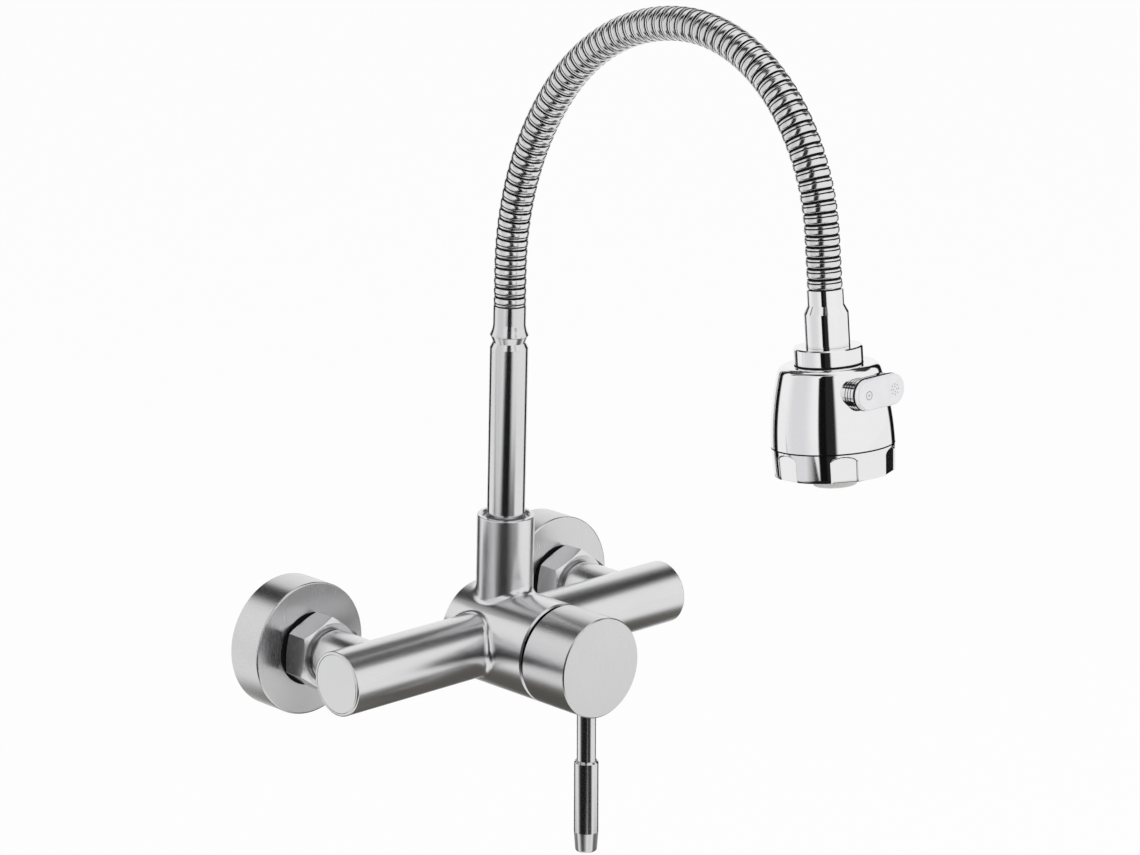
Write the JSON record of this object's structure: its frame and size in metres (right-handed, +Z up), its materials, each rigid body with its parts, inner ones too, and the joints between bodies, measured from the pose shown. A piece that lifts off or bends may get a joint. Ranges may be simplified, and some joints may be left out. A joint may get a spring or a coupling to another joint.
{
  "type": "wall mounted mixer faucet with flexible spray spout",
  "caption": "Wall mixer faucet: level body tube between wall unions, single lever under a round cap, swivelling riser, ribbed stay-put gooseneck and a spray head with a rocker diverter.",
  "frame": {"origin": "on the finished wall, midway between the two wall pipes", "axes": "+X along the wall to the right, +Y into the wall, +Z up"},
  "size_m": [0.21, 0.3008, 0.3822],
  "materials": {
    "satin_steel": "satin brushed",
    "chrome": "polished",
    "brass": "machined",
    "steel": "machined",
    "ceramic": "ground ceramic",
    "white_plastic": "moulded",
    "rubber": "soft",
    "pale_plate": "pearl chrome"
  },
  "bodies": {
    "wall_body": {"mixer_body": "satin_steel", "end_plug_left": "satin_steel", "end_plug_right": "satin_steel", "inlet_tail_left": "brass", "inlet_tail_right": "brass", "inlet_seal_left": "rubber", "inlet_seal_right": "rubber", "inlet_union_left": "brass", "inlet_union_right": "brass", "union_nut_left": "satin_steel", "union_nut_right": "satin_steel", "escutcheon_left": "satin_steel", "escutcheon_right": "satin_steel", "cartridge_base": "white_plastic", "port_seals": "rubber", "fixed_disc": "ceramic", "cartridge_housing": "white_plastic", "cartridge_nut": "brass", "spout_bush": "white_plastic", "spout_seals": "rubber", "spout_clip": "steel"},
    "rotor": {"cartridge_rotor": "white_plastic", "stem_pin": "steel"},
    "slider": {"sliding_disc": "ceramic"},
    "handle": {"stem": "steel", "handle_cap": "satin_steel", "lever_rod": "chrome", "lever_grip": "chrome"},
    "spout": {"riser_tube": "chrome", "riser_ferrule": "chrome", "gooseneck_hose": "chrome", "inner_hose": "rubber"},
    "hose_end": {"hose_end_fitting": "chrome", "swivel_seal": "rubber"},
    "head": {"collar_nut": "chrome", "head_shell": "chrome", "valve_block": "white_plastic", "rocker_pin": "steel", "spray_ring": "chrome", "nozzle_plate": "rubber", "aerator_body": "white_plastic", "aerator_mesh": "steel", "face_seal": "rubber"},
    "rocker": {"diverter_rocker": "pale_plate"},
    "spool": {"diverter_spool": "white_plastic", "spool_seals": "rubber"}
  },
  "joints": [
    {"name": "handle_turn", "type": "hinge", "parent": "wall_body", "child": "rotor", "pos_m": [0, 0, 0.006], "axis": [0, -1, 0], "range_deg": [-50, 50]},
    {"name": "handle_lift", "type": "hinge", "parent": "rotor", "child": "handle", "pos_m": [0, -0.086, 0.006], "axis": [-1, 0, 0], "range_deg": [0, 20]},
    {"name": "disc_slide", "type": "slide", "parent": "rotor", "child": "slider", "axis": [0, 0, -1], "range_m": [0, 0.0015]},
    {"name": "spout_swivel", "type": "hinge", "parent": "wall_body", "child": "spout", "pos_m": [0, -0.0625, 0.006], "axis": [0, -0.0297, 0.9996], "range_deg": [-90, 90]},
    {"name": "gooseneck_flex", "type": "hinge", "parent": "spout", "child": "hose_end", "pos_m": [0, -0.161, 0.277], "axis": [1, 0, 0], "range_deg": [-15, 15], "deforming": ["gooseneck_hose", "inner_hose"]},
    {"name": "head_swivel", "type": "hinge", "parent": "hose_end", "child": "head", "pos_m": [0, -0.25414, 0.19759], "axis": [0, -0.0976, -0.9952], "continuous": true},
    {"name": "diverter_rock", "type": "hinge", "parent": "head", "child": "rocker", "pos_m": [0, -0.2803, 0.16036], "axis": [0, -0.0976, -0.9952], "range_deg": [-4, 4]},
    {"name": "spool_slide", "type": "slide", "parent": "head", "child": "spool", "axis": [1, 0, 0], "range_m": [-0.0006, 0.0006]}
  ],
  "couplings": [
    {"joint": "disc_slide", "follows": "handle_lift", "m_per_rad": 0.004115},
    {"joint": "spool_slide", "follows": "diverter_rock", "m_per_rad": 0.008}
  ]
}
